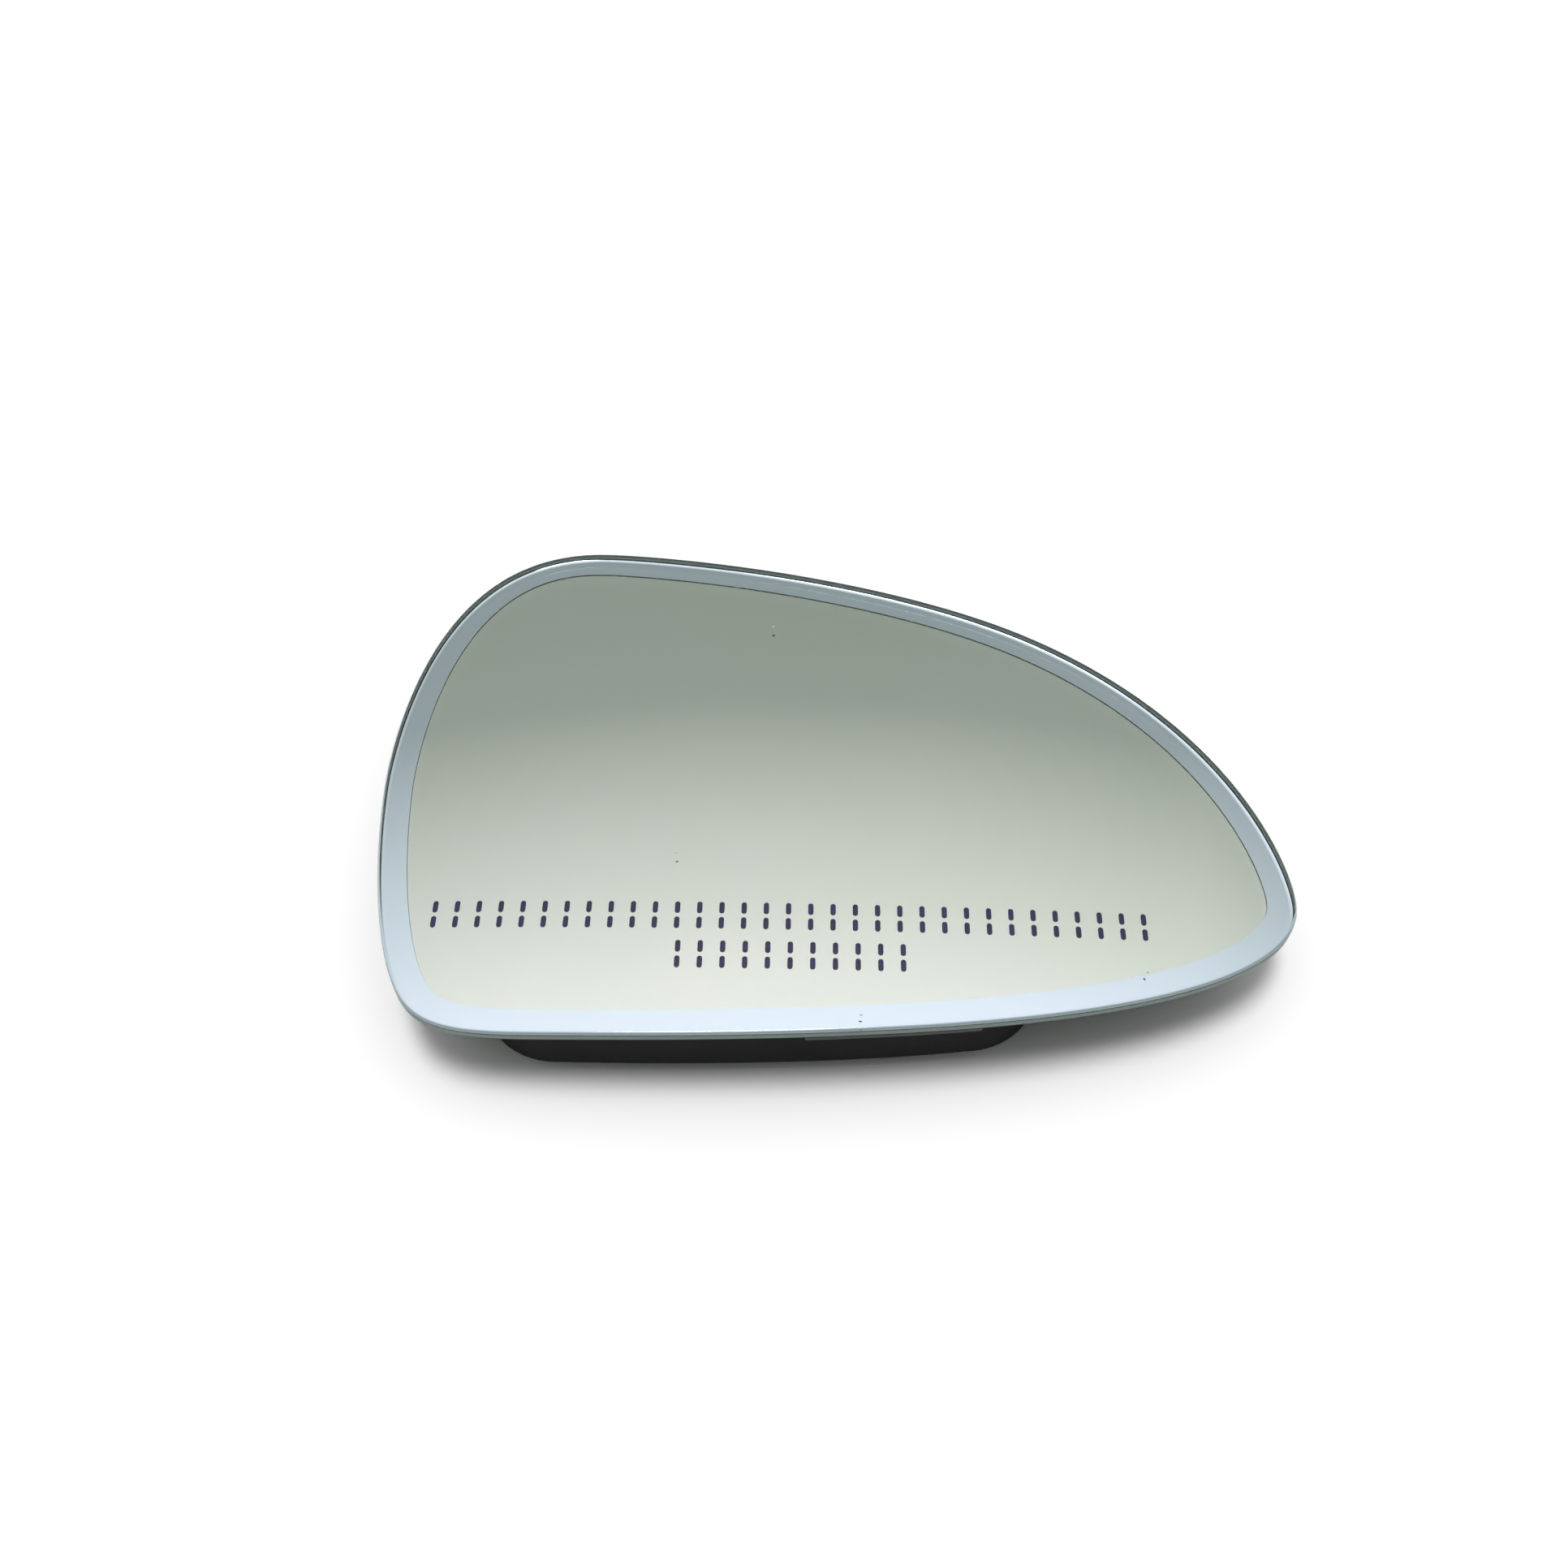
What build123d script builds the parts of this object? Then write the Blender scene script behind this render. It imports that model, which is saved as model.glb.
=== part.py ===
from build123d import *
import math
import os

# Self-dimming, heated door mirror glass on its clip-on carrier, in millimetres.
# Z is the axis of the clip, and the mirror looks along +Z with its pointed nose towards +X.
# Z = 0 is the plane in which the clip fingers grip the disc of the mirror motor.

# Outline of the front glass, seen from the front and measured from the clip axis
reach_left = 75.0
reach_right = 91.0
reach_up = 59.0
reach_down = 50.5
left_level = 2.5
top_place = -40.0
shoulder_place = 47.0
shoulder_level = 38.0
nose_level = -20.5
bottom_place = -36.0
heel_place = -66.0
heel_level = -42.5

# Knots of the outline: x, y, heading in degrees, and the handles behind and ahead as shares of the chord
rim_knots = [
    (-reach_left, left_level, 90, 0.11, 0.26),
    (top_place, reach_up, 0, 0.46, 0.11),
    (shoulder_place, shoulder_level, -28, 0.36, 0.55),
    (reach_right, nose_level, -90, 0.14, 0.115),
    (bottom_place, -reach_down, 180, 0.75, 0.50),
    (heel_place, heel_level, 120, 0.31, 0.33),
]

# Stack of curved layers, from the carrier to the front face, as heights on the clip axis
convex_radius = 1200.0
flange_back = 11.4
flange_wall = 1.8
tape_thickness = 0.5
foil_thickness = 0.3
rear_glass_thickness = 1.6
cell_gap = 0.3
front_glass_thickness = 2.0
bond_line = 0.05

# Insets of the layers from the outline of the front glass
seal_inset = 1.4
seal_width = 3.8
rear_glass_inset = 0.8
foil_inset = 3.4
tape_inset = 4.0
flange_inset = 2.5

# Ground edges of the two glass plates
front_round = 0.5
rear_chamfer = 0.2

# Spring clips that feed the dimming cell over the edge of the rear glass
bus_clip_metal = 0.2
bus_clip_length = 30.0
bus_clip_play = 0.05
bus_clip_seal_gap = 0.1
bus_clip_foil_gap = 0.3
lower_bus_clip_place = 19.0
upper_bus_clip_place = -20.0

# Tray of the carrier, whose lower wall runs along the lower edge of the glass
tray_left = 54.0
tray_right = 46.0
tray_up = 38.0
tray_inset = 2.2
tray_wall = 1.8
tray_foot = 1.0
tray_upper_corner = 18.0
tray_lower_corner = 14.0

# Clip ring: a base under the flange that carries snap fingers, and a collar around them
clip_radius = 23.0
clip_land = 1.2
hook_depth = 1.1
hook_ramp = 1.2
finger_count = 8
finger_sweep = 26.0
finger_wall = 1.5
finger_room = 1.6
collar_wall = 1.8
collar_rim = -3.0
ring_base_wall = 1.6
ring_base_flange = 1.5
ring_ledge = 0.8
hook_window_sweep = 29.0
hook_window_bite = 0.3

# Ribs on the back of the carrier
rib_wall = 1.2
locator_play = 0.3
locator_wall = 1.4
locator_depth = 3.0
tray_rib_count = 8
tray_rib_depth = 6.0
wing_rib_count = 16
wing_rib_depth = 2.5
bead_inset = 4.2
bead_width = 1.2
bead_depth = 1.5

# Heater terminals, riveted to the foil in a window of the carrier
blade_place = 41.5
blade_pitch = 12.0
blade_width = 6.3
blade_metal = 0.8
blade_tip = 3.0
blade_tip_chamfer = 1.2
blade_hole_radius = 0.8
blade_hole_up = 2.6
blade_foot_length = 7.0
blade_foot_width = 8.0
rivet_pitch = 4.0
rivet_back = 4.5
rivet_radius = 1.0
rivet_head_radius = 1.7
rivet_head_height = 0.6
window_play = 1.5

# Plug socket of the dimming cell, moulded on the carrier around two pins
socket_place = -42.0
socket_length = 14.0
socket_depth = 9.0
socket_wall = 1.2
socket_mouth = 2.0
socket_key = 3.0
pin_pitch = 4.0
pin_width = 0.8
pin_tip = 4.0
pin_head = 3.0

finger_inner = clip_radius + hook_depth
finger_outer = finger_inner + finger_wall
collar_inner = finger_outer + finger_room
collar_outer = collar_inner + collar_wall
ring_base_radius = collar_outer + ring_base_flange
ring_base_face = flange_back - bond_line
ring_base_back = ring_base_face - ring_base_wall
ring_base_middle = ring_base_face - ring_base_wall / 2

flange_face = flange_back + flange_wall
flange_middle = flange_back + flange_wall / 2
tape_back = flange_face + bond_line
tape_face = tape_back + tape_thickness
foil_back = tape_face + bond_line
foil_face = foil_back + foil_thickness
rear_back = foil_face + bond_line
rear_face = rear_back + rear_glass_thickness
cell_back = rear_face + bond_line
cell_face = cell_back + cell_gap
front_back = cell_face + bond_line
front_face = front_back + front_glass_thickness
curve_centre = front_face - convex_radius


def knot_frame(knot):
    """Place of a knot, its heading and the direction square to it that points into the glass."""
    turn = math.radians(knot[2])
    along = Vector(math.cos(turn), math.sin(turn))
    inward = Vector(math.sin(turn), -math.cos(turn))
    return Vector(*knot[:2]), along, inward


def rim_stretch(start, end, inset):
    """Cubic curve from one knot to the next, moved into the glass by an inset.

    Each handle shrinks by the share of its end's radius of curvature that the inset takes,
    which keeps the curve parallel to the outline.
    """
    start_place, start_along, start_inward = knot_frame(start)
    end_place, end_along, end_inward = knot_frame(end)
    chord = math.dist(start[:2], end[:2])
    ahead = chord * start[4]
    behind = chord * end[3]
    start_handle = start_place + start_along * ahead
    end_handle = end_place - end_along * behind
    start_curvature = 2 / 3 * (end_handle - start_place).dot(start_inward) / ahead**2
    end_curvature = 2 / 3 * (start_handle - end_place).dot(end_inward) / behind**2
    first = start_place + start_inward * inset
    last = end_place + end_inward * inset
    leaving = first + start_along * ahead * (1 - inset * start_curvature)
    arriving = last - end_along * behind * (1 - inset * end_curvature)
    return Bezier(first, leaving, arriving, last)


def rim_face(inset):
    """Face inside the outline of the front glass, drawn in by an inset."""
    pairs = zip(rim_knots, rim_knots[1:] + rim_knots[:1])
    return make_face([rim_stretch(start, end, inset) for start, end in pairs])


def upright(face, low, high):
    """Straight block on a face, between two heights."""
    return extrude(Pos(0, 0, low) * face, amount=high - low)


def ball(height):
    """Ball around the mirror's centre of curvature that crosses the clip axis at a height."""
    return Pos(0, 0, curve_centre) * Rot(90, 0, 0) * Sphere(height - curve_centre)


def sheet(face, back, front):
    """Curved sheet of even thickness over a face, between two heights on the clip axis."""
    below_front = upright(face, collar_rim, front_face) & ball(front)
    return below_front - ball(back)


def layer(inset, back, front):
    """Curved sheet cut to the outline of the glass with an inset."""
    return sheet(rim_face(inset), back, front)


def border(inset, width, back, front):
    """Curved strip that runs all the way round at an inset from the outline of the glass."""
    return layer(inset, back, front) - upright(rim_face(inset + width), collar_rim, front_face)


def front_glass():
    """Front plate, with the polished round edge that shows as a bright line around the mirror."""
    plate = layer(0, front_back, front_face)
    return fillet(plate.faces().sort_by(Axis.Z)[-1].edges(), front_round)


def rear_glass():
    """Rear plate, which carries the reflecting coat on its front."""
    plate = layer(rear_glass_inset, rear_back, rear_face)
    return chamfer(plate.faces().sort_by(Axis.Z)[-1].edges(), rear_chamfer)


def border_seal():
    """Silvered seal between the plates, which shows as the pale band around the mirror."""
    return border(seal_inset, seal_width, cell_back, cell_face)


def cell_gel():
    """Dimming gel that fills the gap between the plates inside the seal."""
    return layer(seal_inset + seal_width, cell_back, cell_face)


def bus_clip(place, side):
    """Spring clip hooked over the edge of the rear glass, at a place along its upper or lower side."""
    web_inset = rear_glass_inset - bus_clip_play - bus_clip_metal
    front_leg_inset = seal_inset - bus_clip_seal_gap
    back_leg_inset = foil_inset - bus_clip_foil_gap
    front = rear_face + bus_clip_play + bus_clip_metal
    back = rear_back - bus_clip_play - bus_clip_metal
    clip = border(web_inset, back_leg_inset - web_inset, back, front)
    clip -= layer(web_inset + bus_clip_metal, back + bus_clip_metal, front - bus_clip_metal)
    clip -= layer(front_leg_inset, (rear_back + rear_face) / 2, front_face)
    height = reach_up + reach_down
    stretch = Pos(place, side * height / 2) * Rectangle(bus_clip_length, height)
    return clip & upright(stretch, collar_rim, front_face)


def blade_spots():
    """Places of the two heater blades."""
    return [Pos(blade_place, side * blade_pitch / 2) for side in (-1, 1)]


def rivet_spots():
    """Places of the four rivets, two behind each heater blade."""
    return [spot * Pos(-rivet_back, side * rivet_pitch / 2) for spot in blade_spots() for side in (-1, 1)]


def rivet_holes():
    """Outlines of the four rivet holes."""
    return Sketch() + [spot * Circle(rivet_radius) for spot in rivet_spots()]


def foot_shift():
    """Shift from the middle of a heater blade to the middle of its foot."""
    return Pos((blade_metal - blade_foot_length) / 2, 0)


def heater_window():
    """Outline of the window in the tape and the carrier around the feet of both blades."""
    width = blade_pitch + blade_foot_width + 2 * window_play
    return Pos(blade_place, 0) * foot_shift() * Rectangle(blade_foot_length + 2 * window_play, width)


def pin_spots():
    """Places of the two pins in the socket."""
    return [Pos(socket_place, side * pin_pitch / 2) for side in (-1, 1)]


def pin_holes():
    """Outlines of the two pins where they pass through the carrier."""
    return Sketch() + [spot * Rectangle(pin_width, pin_width) for spot in pin_spots()]


def pin_window():
    """Outline of the window in the tape around the heads of both pins."""
    length = pin_head + 2 * window_play
    return Pos(socket_place, 0) * Rectangle(length, length + pin_pitch)


def heater_foil():
    """Heater foil on the back of the rear glass, pierced by the rivets of its terminals."""
    return layer(foil_inset, foil_back, foil_face) - upright(rivet_holes(), collar_rim, front_face)


def bonding_tape():
    """Double-sided tape that holds the glass to the carrier, open around the terminals."""
    windows = upright(heater_window() + pin_window(), collar_rim, front_face)
    return layer(tape_inset, tape_back, tape_face) - windows


def heater_blade(spot):
    """Blade terminal with a pierced tip, bent from a foot that lies on the heater foil."""
    blade = upright(spot * Rectangle(blade_metal, blade_width), blade_tip, front_face)
    blade = chamfer(blade.edges().filter_by(Axis.X).group_by(Axis.Z)[0], blade_tip_chamfer)
    hole = Rot(0, 90, 0) * Cylinder(blade_hole_radius, 2 * blade_metal)
    blade -= spot * Pos(0, 0, blade_tip + blade_hole_up) * hole
    foot = sheet(spot * foot_shift() * Rectangle(blade_foot_length, blade_foot_width), tape_back, tape_face)
    return (blade & ball(tape_face)) + foot - upright(rivet_holes(), collar_rim, front_face)


def terminal_rivet(spot):
    """Rivet with its shank through foot and foil, and its head against the back of the foot."""
    across = spot.position.length
    foot_back = curve_centre + math.sqrt((tape_back - curve_centre) ** 2 - across**2)
    back = foot_back - bond_line - rivet_head_height
    head = upright(spot * Circle(rivet_head_radius), back, front_face) & ball(tape_back - bond_line)
    shank = upright(spot * Circle(rivet_radius - bond_line), back, front_face) & ball(foil_face)
    return head + shank


def dimming_pins():
    """Pins of the plug socket, with heads that lie on the conductors of the foil."""
    shanks = upright(pin_holes(), pin_tip, front_face) & ball(tape_face)
    heads = Sketch() + [spot * Rectangle(pin_head, pin_head) for spot in pin_spots()]
    return shanks + sheet(heads, tape_back, tape_face)


def tray_block(shrink, low, high):
    """Block with the outline of the tray drawn in by a shrink, its lower side parallel to the glass."""
    width = tray_left + tray_right - 2 * shrink
    height = tray_up + 2 * reach_down - 2 * shrink
    middle = Pos((tray_right - tray_left) / 2, tray_up / 2 - reach_down)
    blank = upright(middle * RectangleRounded(width, height, tray_upper_corner - shrink), low, high)
    block = blank & upright(rim_face(tray_inset + shrink), low, high)
    corners = block.edges().filter_by(lambda edge: abs((edge % 0.5).Z) > 0.99)
    lower_left = corners.group_by(Axis.X)[0].sort_by(Axis.Y)[0]
    lower_right = corners.group_by(Axis.X)[-1].sort_by(Axis.Y)[0]
    return fillet([lower_left, lower_right], tray_lower_corner - shrink)


def clip_sector(profile, sweep):
    """Closed profile of radii and heights, turned about the clip axis by a sweep that is centred on X."""
    return Rot(0, 0, -sweep / 2) * revolve(Plane.XZ * make_face(profile), Axis.Z, sweep)


def clip_finger():
    """Snap finger with a ramped hook that closes on the disc of the mirror motor."""
    land = clip_land / 2
    tip = -land - hook_ramp
    inside = [(finger_inner, ring_base_middle), (finger_inner, land + hook_ramp)]
    hook = [(clip_radius, land), (clip_radius, -land), (finger_inner, tip)]
    outside = [(finger_outer, tip), (finger_outer, ring_base_middle)]
    return clip_sector(Polyline(*inside, *hook, *outside, close=True), finger_sweep)


def hook_window():
    """Gap in the ledge over a hook, through which the mould forms the hook."""
    inner = clip_radius - hook_depth
    outer = finger_inner + hook_window_bite
    foot = [(inner, collar_rim), (outer, collar_rim)]
    head = [(outer, front_face), (inner, front_face)]
    return clip_sector(Polyline(*foot, *head, close=True), hook_window_sweep)


def around_clip(shape):
    """Copies of a shape, one for each snap finger."""
    return [Rot(0, 0, turn * 360 / finger_count) * shape for turn in range(finger_count)]


def clip_ring():
    """Clip ring: a curved base with a ledge for the disc, snap fingers, and a collar around them."""
    base = Circle(ring_base_radius) - Circle(finger_inner - ring_ledge)
    ring = sheet(base, ring_base_back, ring_base_face) - around_clip(hook_window())
    ring += upright(Circle(collar_outer) - Circle(collar_inner), collar_rim, ring_base_middle)
    return ring + around_clip(clip_finger())


def rib_plates(count, first_turn):
    """Upright plates that run out from the clip axis, evenly spread from a first angle."""
    plate = Pos(reach_right / 2, 0) * Box(reach_right, rib_wall, 2 * front_face)
    return Part() + [Rot(0, 0, first_turn + turn * 360 / count) * plate for turn in range(count)]


def tray_ribs():
    """Locating ring around the base of the clip ring, and deep ribs from it to the wall of the tray."""
    inside = ring_base_radius + locator_play
    outside = inside + locator_wall
    locator = sheet(Circle(outside) - Circle(inside), flange_back - locator_depth, flange_middle)
    core = upright(Circle(inside + locator_wall / 2), collar_rim, front_face)
    bays = tray_block(tray_wall / 2, tray_foot, front_face) - core
    ribs = bays & rib_plates(tray_rib_count, 180 / tray_rib_count) & ball(flange_middle)
    return ribs - ball(flange_back - tray_rib_depth) + locator


def wing_ribs():
    """Low ribs and an edge bead on the back of the flange, outside the tray."""
    wings = layer(bead_inset + bead_width / 2, flange_back - wing_rib_depth, flange_middle)
    ribs = wings & rib_plates(wing_rib_count, 0)
    ribs += border(bead_inset, bead_width, flange_back - bead_depth, flange_middle)
    return ribs - tray_block(tray_wall / 2, collar_rim, front_face)


def socket():
    """Shroud of the plug socket, with a keyway on the side away from the clip."""
    shroud = Rectangle(socket_depth, socket_length)
    shroud -= Rectangle(socket_depth - 2 * socket_wall, socket_length - 2 * socket_wall)
    shroud -= Pos(-socket_depth / 2, 0) * Rectangle(socket_depth, socket_key)
    return upright(Pos(socket_place, 0) * shroud, socket_mouth, front_face) & ball(flange_middle)


def carrier_plate():
    """Moulded carrier: curved flange, tray wall, ribs, plug socket and terminal openings."""
    wall = tray_block(0, tray_foot, front_face) - tray_block(tray_wall, tray_foot, front_face)
    carrier = layer(flange_inset, flange_back, flange_face)
    carrier += wall & ball(flange_middle)
    carrier += tray_ribs()
    carrier += wing_ribs()
    carrier += socket()
    return carrier - upright(heater_window() + pin_holes(), tray_foot, front_face)


lower_blade, upper_blade = blade_spots()
parts = {
    "front_glass": front_glass(),
    "border_seal": border_seal(),
    "cell_gel": cell_gel(),
    "rear_glass": rear_glass(),
    "lower_bus_clip": bus_clip(lower_bus_clip_place, -1),
    "upper_bus_clip": bus_clip(upper_bus_clip_place, 1),
    "heater_foil": heater_foil(),
    "bonding_tape": bonding_tape(),
    "lower_heater_blade": heater_blade(lower_blade),
    "upper_heater_blade": heater_blade(upper_blade),
    "terminal_rivets": Compound([terminal_rivet(spot) for spot in rivet_spots()]),
    "dimming_pins": dimming_pins(),
    "clip_ring": clip_ring(),
    "carrier_plate": carrier_plate(),
}

os.makedirs("parts", exist_ok=True)
for name, shape in parts.items():
    export_step(shape, f"parts/{name}.step")
    print(name, "solids", len(shape.solids()), "volume", round(shape.volume, 1), "valid", shape.is_valid)
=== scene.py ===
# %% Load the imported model
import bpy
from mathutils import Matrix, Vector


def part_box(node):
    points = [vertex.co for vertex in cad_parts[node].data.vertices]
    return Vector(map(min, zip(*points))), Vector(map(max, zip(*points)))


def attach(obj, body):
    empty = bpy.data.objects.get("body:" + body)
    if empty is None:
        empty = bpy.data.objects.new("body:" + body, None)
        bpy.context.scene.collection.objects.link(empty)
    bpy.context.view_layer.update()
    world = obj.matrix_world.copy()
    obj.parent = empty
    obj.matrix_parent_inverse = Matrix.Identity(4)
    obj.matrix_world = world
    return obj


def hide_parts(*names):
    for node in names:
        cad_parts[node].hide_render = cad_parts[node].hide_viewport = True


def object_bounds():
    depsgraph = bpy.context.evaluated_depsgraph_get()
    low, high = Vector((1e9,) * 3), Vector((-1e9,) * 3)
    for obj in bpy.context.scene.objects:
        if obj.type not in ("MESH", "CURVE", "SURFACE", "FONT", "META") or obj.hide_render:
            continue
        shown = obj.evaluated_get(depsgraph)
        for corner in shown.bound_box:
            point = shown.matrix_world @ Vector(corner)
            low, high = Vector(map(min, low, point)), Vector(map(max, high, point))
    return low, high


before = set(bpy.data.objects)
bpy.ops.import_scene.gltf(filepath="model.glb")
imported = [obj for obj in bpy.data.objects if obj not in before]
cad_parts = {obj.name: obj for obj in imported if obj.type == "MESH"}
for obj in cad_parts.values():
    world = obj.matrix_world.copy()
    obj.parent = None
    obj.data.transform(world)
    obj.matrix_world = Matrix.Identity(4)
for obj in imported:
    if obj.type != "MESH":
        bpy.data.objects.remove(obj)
cad_low, cad_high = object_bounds()
print("nodes of the packed model:", sorted(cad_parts))

# %% [markdown]
# # A door mirror glass in Blender
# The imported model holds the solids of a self-dimming door mirror glass: two glass plates with a gel between
# them, a heater foil, a tape and a moulded carrier. The plastic and metal pieces keep those solids and only
# get a finish. The glass sandwich is different. A mirror shows the smallest dent in its surface, and the
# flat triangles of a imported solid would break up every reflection. So the plates, the seal and the coats
# are worked out again below on exact spheres, with fine steps.

# %% Tools and units
import bpy
import numpy as np
from mathutils import Vector
MM = 0.001
scene = bpy.context.scene
print("the solids span", [round(side / MM, 1) for side in cad_high - cad_low], "mm")

# %% [markdown]
# ## The outline of the glass
# The front plate is cut to an outline with six knots. A knot has a place, a heading and two handles, as in
# a drawing program, and a cubic curve runs from each knot to the next. The outermost knots take their
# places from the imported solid. One could also pull the outline out of the solid's mesh, but a formula gives
# even steps and exact directions, and both are needed to carry an edge profile around the glass.

# %% Outline
glass_low, glass_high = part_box("front_glass")
rim_knots = np.array([
    # x and y in mm, heading in degrees, handles behind and ahead as shares of the chord
    (glass_low.x / MM, 2.5, 90, 0.11, 0.26),
    (-40.0, glass_high.y / MM, 0, 0.46, 0.11),
    (47.0, 38.0, -28, 0.36, 0.55),
    (glass_high.x / MM, -20.5, -90, 0.14, 0.115),
    (-36.0, glass_low.y / MM, 180, 0.75, 0.50),
    (-66.0, -42.5, 120, 0.31, 0.33),
])


def rim_curve(steps, steps_per_stretch=400):
    """Outline at even steps of length, and the direction into the glass at each step.

    A stretch is start (1-t)^3 + handle 3t(1-t)^2 + handle 3t^2(1-t) + end t^3, with t from 0 to 1.
    The direction into the glass is the heading turned right, because the outline runs clockwise.
    """
    starts, ends = rim_knots, np.roll(rim_knots, -1, axis=0)
    chords = np.linalg.norm(ends[:, :2] - starts[:, :2], axis=1)
    headings = np.radians(rim_knots[:, 2])
    along = np.stack([np.cos(headings), np.sin(headings)], axis=1)
    leaving = starts[:, :2] + along * (chords * starts[:, 4])[:, None]
    arriving = ends[:, :2] - np.roll(along, -1, axis=0) * (chords * ends[:, 3])[:, None]
    t = np.linspace(0, 1, steps_per_stretch, endpoint=False)
    weights = np.stack([(1 - t) ** 3, 3 * t * (1 - t) ** 2, 3 * t**2 * (1 - t), t**3])
    corners = np.stack([starts[:, :2], leaving, arriving, ends[:, :2]])
    dense = np.einsum("kt,ksd->std", weights, corners).reshape(-1, 2)
    closed = np.vstack([dense, dense[:1]])
    run = np.concatenate([[0], np.cumsum(np.linalg.norm(np.diff(closed, axis=0), axis=1))])
    places = np.linspace(0, run[-1], steps, endpoint=False)
    rim = np.stack([np.interp(places, run, closed[:, axis]) for axis in (0, 1)], axis=1)
    heading = np.roll(rim, -1, axis=0) - np.roll(rim, 1, axis=0)
    heading /= np.linalg.norm(heading, axis=1, keepdims=True)
    return rim, np.stack([heading[:, 1], -heading[:, 0]], axis=1)


rim, inward = rim_curve(steps=960)
print("steps around the rim:", len(rim))

# %% [markdown]
# ## Curved layers
# All layers share one centre of curvature, 1200 mm behind the face, so the mirror is convex and every layer
# has an even thickness. A layer is a profile carried around the rim. Each point of the profile says how far
# it lies in from the rim, how much it is drawn towards the clip axis, on which sphere it lies and how far
# below it. The alternative is to sculpt a flat plate and bend it with a modifier, which is quicker to
# write, but leaves the spheres only roughly round.

# %% Curved layers
curve_radius = 1200.0
front_face = glass_high.z / MM
curve_centre = front_face - curve_radius
front_thickness = 2.0
bond_line = 0.05
cell_gap = 0.3
rear_thickness = 1.6
front_back = front_face - front_thickness
cell_face = front_back - bond_line
cell_back = cell_face - cell_gap
rear_face = cell_back - bond_line
rear_back = rear_face - rear_thickness


def dome(plan, level):
    """Height over plan points of the sphere that crosses the clip axis at a level.

    It is the centre's height plus the root of the radius squared less the distance from the axis squared.
    """
    return curve_centre + np.sqrt((level - curve_centre) ** 2 - (plan**2).sum(axis=-1))


def carry(profile):
    """Points of a profile carried around the rim, with rows of inset, share, level and drop.

    A point lies at the rim moved in by the inset, then drawn towards the axis to a share of its distance.
    Its height is the dome of its level less its drop.
    """
    inset, share, level, drop = np.array(profile, dtype=float).T
    plan = share[None, :, None] * (rim[:, None, :] + inset[None, :, None] * inward[:, None, :])
    height = dome(plan, level) - drop
    return np.concatenate([plan, height[..., None]], axis=-1) * MM


def skin(name, grid, has_poles):
    """Mesh over a grid of points that closes around its first direction.

    With poles, the first and the last column are single points. Without, the second direction closes too.
    """
    around, along = grid.shape[:2]
    if has_poles:
        points = np.vstack([grid[:1, 0], grid[:, 1:-1].reshape(-1, 3), grid[:1, -1]])
        inner = 1 + np.arange(around * (along - 2)).reshape(around, along - 2)
        here, there = inner[:, :-1], inner[:, 1:]
    else:
        points = grid.reshape(-1, 3)
        inner = np.arange(around * along).reshape(around, along)
        here, there = inner, np.roll(inner, -1, axis=1)
    corners = [here, np.roll(here, -1, axis=0), np.roll(there, -1, axis=0), there]
    faces = np.stack(corners, axis=-1).reshape(-1, 4).tolist()
    if has_poles:
        first, last = inner[:, 0], inner[:, -1]
        tip = np.zeros_like(first)
        foot = np.full_like(last, len(points) - 1)
        faces += np.stack([tip, np.roll(first, -1), first], axis=-1).tolist()
        faces += np.stack([last, np.roll(last, -1), foot], axis=-1).tolist()
    return smooth_mesh(name, points, faces)


def smooth_mesh(name, points, faces, crease=35):
    """Mesh with smooth shading that breaks at edges sharper than a crease in degrees."""
    mesh = bpy.data.meshes.new(name)
    mesh.from_pydata(points.tolist(), [], faces)
    mesh.validate()
    mesh.shade_smooth()
    mesh.set_sharp_from_angle(angle=np.radians(crease))
    return mesh


def add_piece(mesh, slot, finish, *replaced):
    """Puts a mesh in the scene as a piece, with its finish and the nodes that it stands for."""
    piece = bpy.data.objects.new(mesh.name, mesh)
    scene.collection.objects.link(piece)
    mesh.materials.append(finish)
    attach(piece, "root")
    if replaced:
        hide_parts(*replaced)
    print(mesh.name, len(mesh.polygons), "faces")


# %% [markdown]
# ## How finishes are made
# A finish is a tree of nodes. Small helpers keep the trees short: one turns a colour as people write it into
# the linear values that a renderer adds up, one adds a node with its settings and links, one starts an
# empty tree, and one turns the size of a pattern in millimetres into the scale of a texture.

# %% Helpers for finishes
def linear(hex_colour):
    """Linear colour of an sRGB hex value.

    A channel c becomes c / 12.92 if it is dark, else ((c + 0.055) / 1.055) ** 2.4.
    """
    srgb = np.array([int(hex_colour[place:place + 2], 16) for place in (1, 3, 5)]) / 255
    channels = np.where(srgb <= 0.04045, srgb / 12.92, ((srgb + 0.055) / 1.055) ** 2.4)
    return (*channels.tolist(), 1.0)


def add_node(tree, kind, inputs=None, **settings):
    """Adds a node, sets its options, and gives each named input a value or a link from a socket."""
    node = tree.nodes.new(kind)
    for name, value in settings.items():
        setattr(node, name, value)
    for name, value in (inputs or {}).items():
        if isinstance(value, bpy.types.NodeSocket):
            tree.links.new(value, node.inputs[name])
        else:
            node.inputs[name].default_value = value
    return node


def start_finish(name):
    """New material with an empty tree, and the place on the piece that lays out its patterns."""
    finish = bpy.data.materials.new(name)
    finish.use_nodes = True
    tree = finish.node_tree
    tree.nodes.clear()
    return finish, tree, add_node(tree, "ShaderNodeTexCoord").outputs["Object"]


def per_mm(size):
    """Texture scale at which one cell of a pattern is a size in mm, on Object coordinates in metres."""
    return 1 / (size * MM)


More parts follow.
